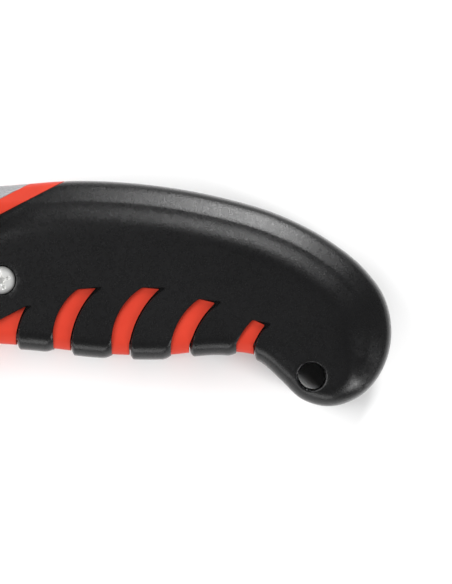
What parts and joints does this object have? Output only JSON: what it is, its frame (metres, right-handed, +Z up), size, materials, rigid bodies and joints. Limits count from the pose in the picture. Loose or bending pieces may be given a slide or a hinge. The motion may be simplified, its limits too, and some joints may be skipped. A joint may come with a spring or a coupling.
{
  "type": "folding pruning saw",
  "caption": "Folding pruning saw with a pull-toothed blade, metal bolsters and a curved rubber grip with coloured finger windows, locked by a rocker on the handle's spine.",
  "frame": {"origin": "centre of the saw's bounding box on the plane it lies on", "axes": "+X from the blade tip towards the handle's butt, +Y towards the spine of the handle, +Z up, across the thickness"},
  "size_m": [0.3908, 0.0562, 0.027],
  "materials": {
    "grip_rubber": "satin, fine grain",
    "red_nylon": "semi-matt",
    "blasted_aluminium": "bead blasted",
    "blade_steel": "ground along its length",
    "bushing_brass": "machined",
    "zinc_plate": "bright zinc plate",
    "lever_steel": "stamped",
    "pad_rubber": "satin",
    "pin_steel": "turned",
    "spring_steel": "blued",
    "block_aluminium": "milled"
  },
  "bodies": {
    "handle": {"grip_left": "grip_rubber", "grip_right": "grip_rubber", "core_left": "red_nylon", "core_right": "red_nylon", "bolster_left": "blasted_aluminium", "bolster_right": "blasted_aluminium", "pivot_bush": "bushing_brass", "pivot_bolt": "zinc_plate", "pivot_nut": "zinc_plate", "pivot_washers": "bushing_brass", "lock_pin": "pin_steel", "lock_spring": "spring_steel", "spring_block": "block_aluminium", "stop_pin": "pin_steel", "grip_screw": "zinc_plate", "bolster_screws": "zinc_plate", "handle_nuts": "zinc_plate"},
    "blade_body": {"blade": "blade_steel"},
    "lever_body": {"lock_lever": "lever_steel", "lock_pad": "pad_rubber"}
  },
  "joints": [
    {"name": "blade_fold", "type": "hinge", "parent": "handle", "child": "blade_body", "pos_m": [-0.0144, 0.00262, 0.0135], "axis": [0, 0, 1], "range_deg": [0, 175]},
    {"name": "lock_rock", "type": "hinge", "parent": "handle", "child": "lever_body", "pos_m": [0.0076, 0.01562, 0.0135], "axis": [0, 0, 1], "range_deg": [0, 10], "stiffness_Nm_per_rad": 0.3, "springref_deg": 14.9}
  ]
}
